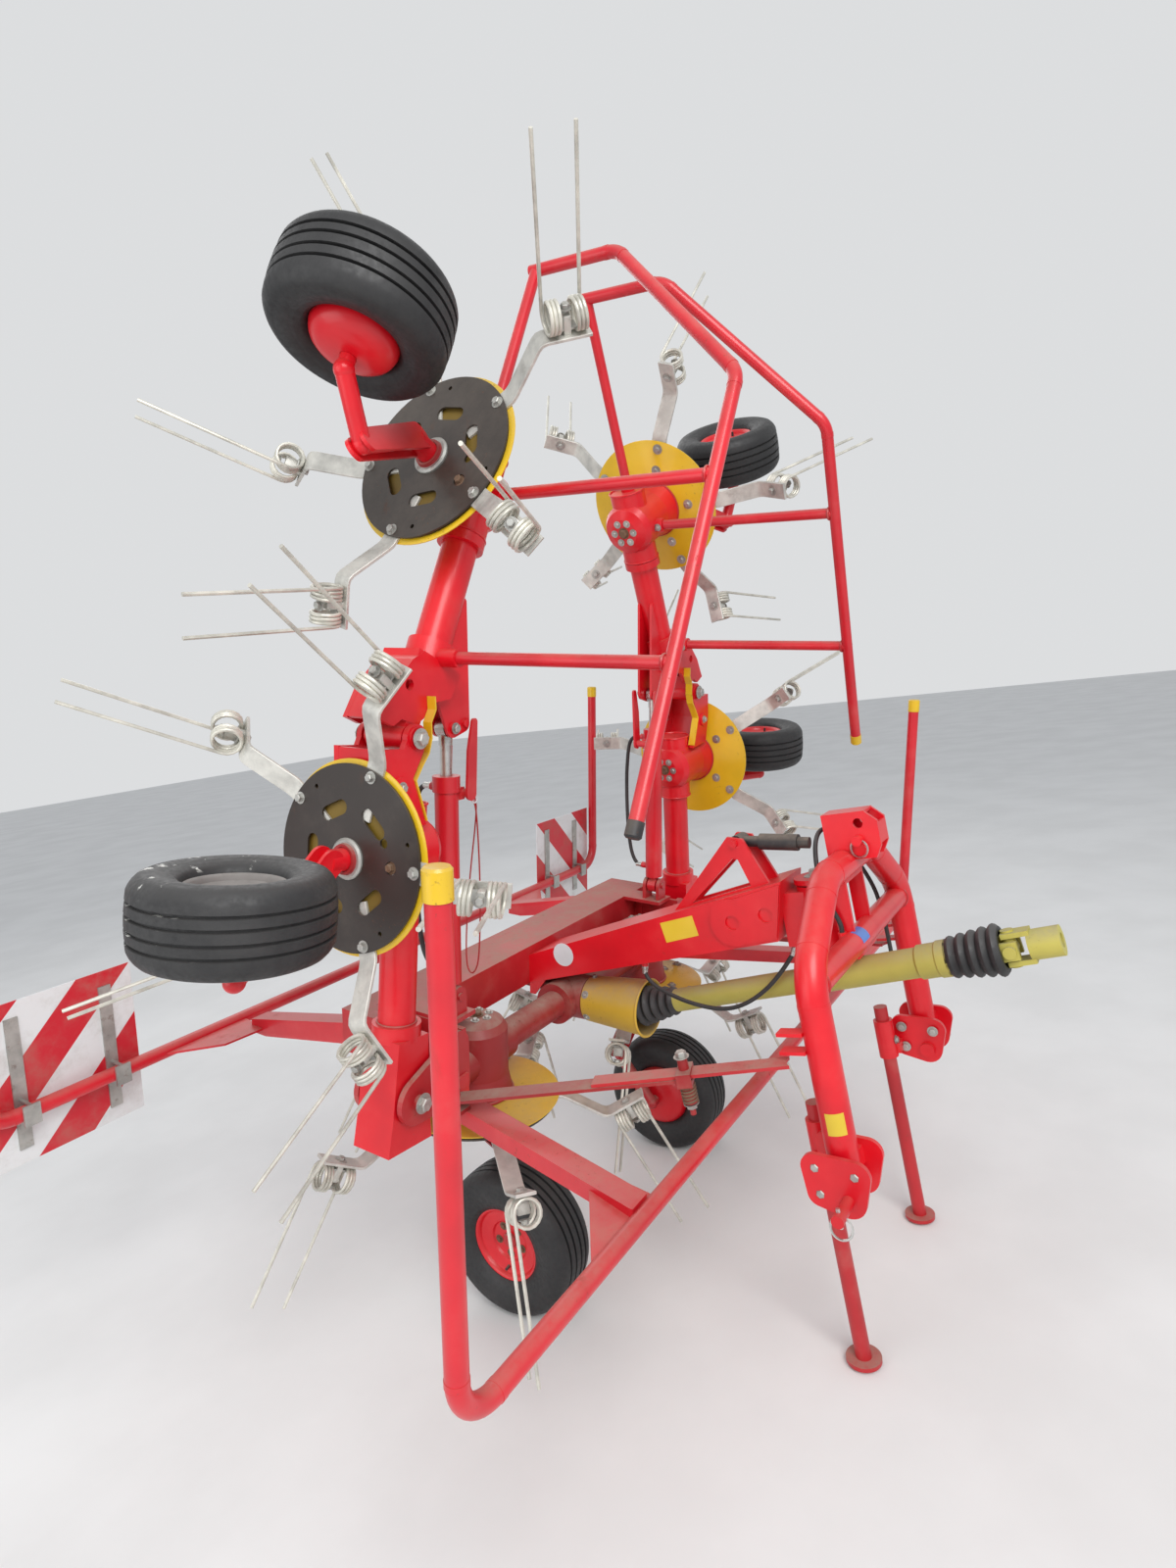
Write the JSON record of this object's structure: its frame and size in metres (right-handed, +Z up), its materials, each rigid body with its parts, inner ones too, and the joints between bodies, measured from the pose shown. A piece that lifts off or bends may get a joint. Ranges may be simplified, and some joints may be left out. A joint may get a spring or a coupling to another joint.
{
  "type": "folded hay tedder",
  "caption": "Tractor-mounted hay tedder with tined rotors, its wings folded up for transport, standing on its parking stands and centre wheels.",
  "frame": {"origin": "on the floor, under the middle of the machine's outline", "axes": "+Z up, +Y towards the machine's rear, +X towards its left side"},
  "size_m": [2.885, 2.2246, 2.9649],
  "materials": {
    "red_paint": "glossy, dusty and worn to rust in places",
    "yellow_paint": "glossy, dusty",
    "tine_steel": "zinc gone dull, rust spots",
    "bright_steel": "bright steel",
    "zinc": "dull zinc",
    "board_sheet": "white sheet with red stripes",
    "guard_plastic": "dusty",
    "black_steel": "greasy black",
    "hose_rubber": "dull black rubber, dusty",
    "cord_fibre": "thin twisted red cord",
    "tyre_rubber": "matt, dusty"
  },
  "bodies": {
    "frame": {"cross_beam": "red_paint", "boom": "red_paint", "centre_drive": "red_paint", "wheel_legs": "red_paint", "front_guard": "red_paint", "rear_guard": "red_paint", "warning_boards": "board_sheet", "board_brackets": "zinc", "strut_bars": "red_paint", "swivel_damper": "black_steel", "pto_cone": "yellow_paint", "pto_guard": "guard_plastic", "boom_hose": "hose_rubber"},
    "pto_yoke": {"pto_yoke": "bright_steel"},
    "headstock": {"headstock": "red_paint", "link_box": "red_paint", "head_hose": "hose_rubber"},
    "stand_right": {"stand_right": "red_paint"},
    "strut_slide_right": {"strut_slide_right": "red_paint"},
    "stand_left": {"stand_left": "red_paint"},
    "strut_slide_left": {"strut_slide_left": "red_paint"},
    "wing_inner_right": {"wing_inner_right": "red_paint", "hinge_guard_right": "yellow_paint"},
    "wing_outer_right": {"wing_outer_right": "red_paint", "hoop_right": "red_paint"},
    "ram_barrel_right": {"ram_barrel_right": "red_paint", "ram_hose_right": "hose_rubber", "pull_cord": "cord_fibre"},
    "ram_rod_right": {"ram_rod_right": "bright_steel"},
    "wing_inner_left": {"wing_inner_left": "red_paint", "hinge_guard_left": "yellow_paint"},
    "wing_outer_left": {"wing_outer_left": "red_paint", "hoop_left": "red_paint"},
    "ram_barrel_left": {"ram_barrel_left": "red_paint", "ram_hose_left": "hose_rubber"},
    "ram_rod_left": {"ram_rod_left": "bright_steel"},
    "rotor_right_1": {"rotor_right_1_discs": "yellow_paint", "rotor_right_1_tines": "tine_steel"},
    "wheel_right_1": {"wheel_right_1_tyre": "tyre_rubber", "wheel_right_1_rim": "red_paint"},
    "rotor_right_2": {"rotor_right_2_discs": "yellow_paint", "rotor_right_2_tines": "tine_steel"},
    "wheel_right_2": {"wheel_right_2_tyre": "tyre_rubber", "wheel_right_2_rim": "red_paint"},
    "rotor_right_3": {"rotor_right_3_discs": "yellow_paint", "rotor_right_3_tines": "tine_steel"},
    "wheel_right_3": {"wheel_right_3_tyre": "tyre_rubber", "wheel_right_3_rim": "red_paint"},
    "rotor_left_1": {"rotor_left_1_discs": "yellow_paint", "rotor_left_1_tines": "tine_steel"},
    "wheel_left_1": {"wheel_left_1_tyre": "tyre_rubber", "wheel_left_1_rim": "red_paint"},
    "rotor_left_2": {"rotor_left_2_discs": "yellow_paint", "rotor_left_2_tines": "tine_steel"},
    "wheel_left_2": {"wheel_left_2_tyre": "tyre_rubber", "wheel_left_2_rim": "red_paint"},
    "rotor_left_3": {"rotor_left_3_discs": "yellow_paint", "rotor_left_3_tines": "tine_steel"},
    "wheel_left_3": {"wheel_left_3_tyre": "tyre_rubber", "wheel_left_3_rim": "red_paint"}
  },
  "joints": [
    {"name": "drive_spin", "type": "hinge", "parent": "frame", "child": "pto_yoke", "pos_m": [0, 0.04676, 0.70668], "axis": [0, -0.974, 0.2267], "continuous": true},
    {"name": "headstock_swivel", "type": "hinge", "parent": "frame", "child": "headstock", "pos_m": [0, -0.55231, 1.01785], "axis": [0, 0.0976, 0.9952], "range_deg": [-12, 12]},
    {"name": "stand_slide_right", "type": "slide", "parent": "headstock", "child": "stand_right", "axis": [0, 0.0976, 0.9952], "range_m": [0, 0.3]},
    {"name": "strut_travel_right", "type": "slide", "parent": "frame", "child": "strut_slide_right", "axis": [0.3208, -0.9431, 0.087], "range_m": [-0.09, 0.09]},
    {"name": "stand_slide_left", "type": "slide", "parent": "headstock", "child": "stand_left", "axis": [0, 0.0976, 0.9952], "range_m": [0, 0.3]},
    {"name": "strut_travel_left", "type": "slide", "parent": "frame", "child": "strut_slide_left", "axis": [-0.3208, -0.9431, 0.087], "range_m": [-0.09, 0.09]},
    {"name": "wing_fold_right", "type": "hinge", "parent": "frame", "child": "wing_inner_right", "pos_m": [-0.78, 0.29095, 0.76132], "axis": [0, -0.9905, -0.1374], "range_deg": [0, 96]},
    {"name": "wing_hinge_right", "type": "hinge", "parent": "wing_inner_right", "child": "wing_outer_right", "pos_m": [-0.73381, 0.17139, 1.623], "axis": [0, -0.9905, -0.1374], "range_deg": [0, 26]},
    {"name": "ram_swing_right", "type": "hinge", "parent": "frame", "child": "ram_barrel_right", "pos_m": [-0.565, 0.2669, 0.93466], "axis": [0, -0.9905, -0.1374], "range_deg": [0, 95]},
    {"name": "ram_stroke_right", "type": "slide", "parent": "ram_barrel_right", "child": "ram_rod_right", "axis": [0.0248, -0.1374, 0.9902], "range_m": [0, 0.483]},
    {"name": "wing_fold_left", "type": "hinge", "parent": "frame", "child": "wing_inner_left", "pos_m": [0.78, 0.29095, 0.76132], "axis": [0, 0.9905, 0.1374], "range_deg": [0, 96]},
    {"name": "wing_hinge_left", "type": "hinge", "parent": "wing_inner_left", "child": "wing_outer_left", "pos_m": [0.73381, 0.17139, 1.623], "axis": [0, 0.9905, 0.1374], "range_deg": [0, 26]},
    {"name": "ram_swing_left", "type": "hinge", "parent": "frame", "child": "ram_barrel_left", "pos_m": [0.565, 0.2669, 0.93466], "axis": [0, 0.9905, 0.1374], "range_deg": [0, 95]},
    {"name": "ram_stroke_left", "type": "slide", "parent": "ram_barrel_left", "child": "ram_rod_left", "axis": [-0.0248, -0.1374, 0.9902], "range_m": [0, 0.483]},
    {"name": "rotor_spin_right_1", "type": "hinge", "parent": "frame", "child": "rotor_right_1", "pos_m": [-0.46, 0.29095, 0.76132], "axis": [0, -0.1374, 0.9905], "continuous": true},
    {"name": "wheel_spin_right_1", "type": "hinge", "parent": "frame", "child": "wheel_right_1", "pos_m": [-0.46, 0.247, 0.205], "axis": [-1, 0, 0], "continuous": true},
    {"name": "rotor_spin_right_2", "type": "hinge", "parent": "wing_inner_right", "child": "rotor_right_2", "pos_m": [-0.71728, 0.20894, 1.35237], "axis": [0.9945, 0.0144, -0.1035], "continuous": true},
    {"name": "wheel_spin_right_2", "type": "hinge", "parent": "wing_inner_right", "child": "wheel_right_2", "pos_m": [-1.26296, 0.08703, 1.35783], "axis": [0.1045, -0.1367, 0.9851], "continuous": true},
    {"name": "rotor_spin_right_3", "type": "hinge", "parent": "wing_outer_right", "child": "rotor_right_3", "pos_m": [-0.40843, 0.0938, 2.18214], "axis": [0.8988, 0.0603, -0.4342], "continuous": true},
    {"name": "wheel_spin_right_3", "type": "hinge", "parent": "wing_outer_right", "child": "wheel_right_3", "pos_m": [-0.87854, -0.06346, 2.44235], "axis": [0.4384, -0.1235, 0.8903], "continuous": true},
    {"name": "rotor_spin_left_1", "type": "hinge", "parent": "frame", "child": "rotor_left_1", "pos_m": [0.46, 0.29095, 0.76132], "axis": [0, -0.1374, 0.9905], "continuous": true},
    {"name": "wheel_spin_left_1", "type": "hinge", "parent": "frame", "child": "wheel_left_1", "pos_m": [0.46, 0.247, 0.205], "axis": [1, 0, 0], "continuous": true},
    {"name": "rotor_spin_left_2", "type": "hinge", "parent": "wing_inner_left", "child": "rotor_left_2", "pos_m": [0.71728, 0.20894, 1.35237], "axis": [-0.9945, 0.0144, -0.1035], "continuous": true},
    {"name": "wheel_spin_left_2", "type": "hinge", "parent": "wing_inner_left", "child": "wheel_left_2", "pos_m": [1.26296, 0.08703, 1.35783], "axis": [-0.1045, -0.1367, 0.9851], "continuous": true},
    {"name": "rotor_spin_left_3", "type": "hinge", "parent": "wing_outer_left", "child": "rotor_left_3", "pos_m": [0.40843, 0.0938, 2.18214], "axis": [-0.8988, 0.0603, -0.4342], "continuous": true},
    {"name": "wheel_spin_left_3", "type": "hinge", "parent": "wing_outer_left", "child": "wheel_left_3", "pos_m": [0.87854, -0.06346, 2.44235], "axis": [-0.4384, -0.1235, 0.8903], "continuous": true}
  ],
  "couplings": [
    {"joint": "strut_travel_right", "follows": "headstock_swivel", "m_per_rad": 0.411},
    {"joint": "strut_travel_left", "follows": "headstock_swivel", "m_per_rad": -0.411},
    {"joint": "ram_swing_right", "follows": "wing_fold_right", "ratio": 0.97937},
    {"joint": "ram_stroke_right", "follows": "wing_fold_right", "m_per_rad": 0.28204},
    {"joint": "ram_swing_left", "follows": "wing_fold_left", "ratio": 0.97937},
    {"joint": "ram_stroke_left", "follows": "wing_fold_left", "m_per_rad": 0.28204},
    {"joint": "rotor_spin_right_1", "follows": "drive_spin", "ratio": 0.3},
    {"joint": "rotor_spin_right_2", "follows": "drive_spin", "ratio": -0.3},
    {"joint": "rotor_spin_right_3", "follows": "drive_spin", "ratio": 0.3},
    {"joint": "rotor_spin_left_1", "follows": "drive_spin", "ratio": -0.3},
    {"joint": "rotor_spin_left_2", "follows": "drive_spin", "ratio": 0.3},
    {"joint": "rotor_spin_left_3", "follows": "drive_spin", "ratio": -0.3}
  ]
}
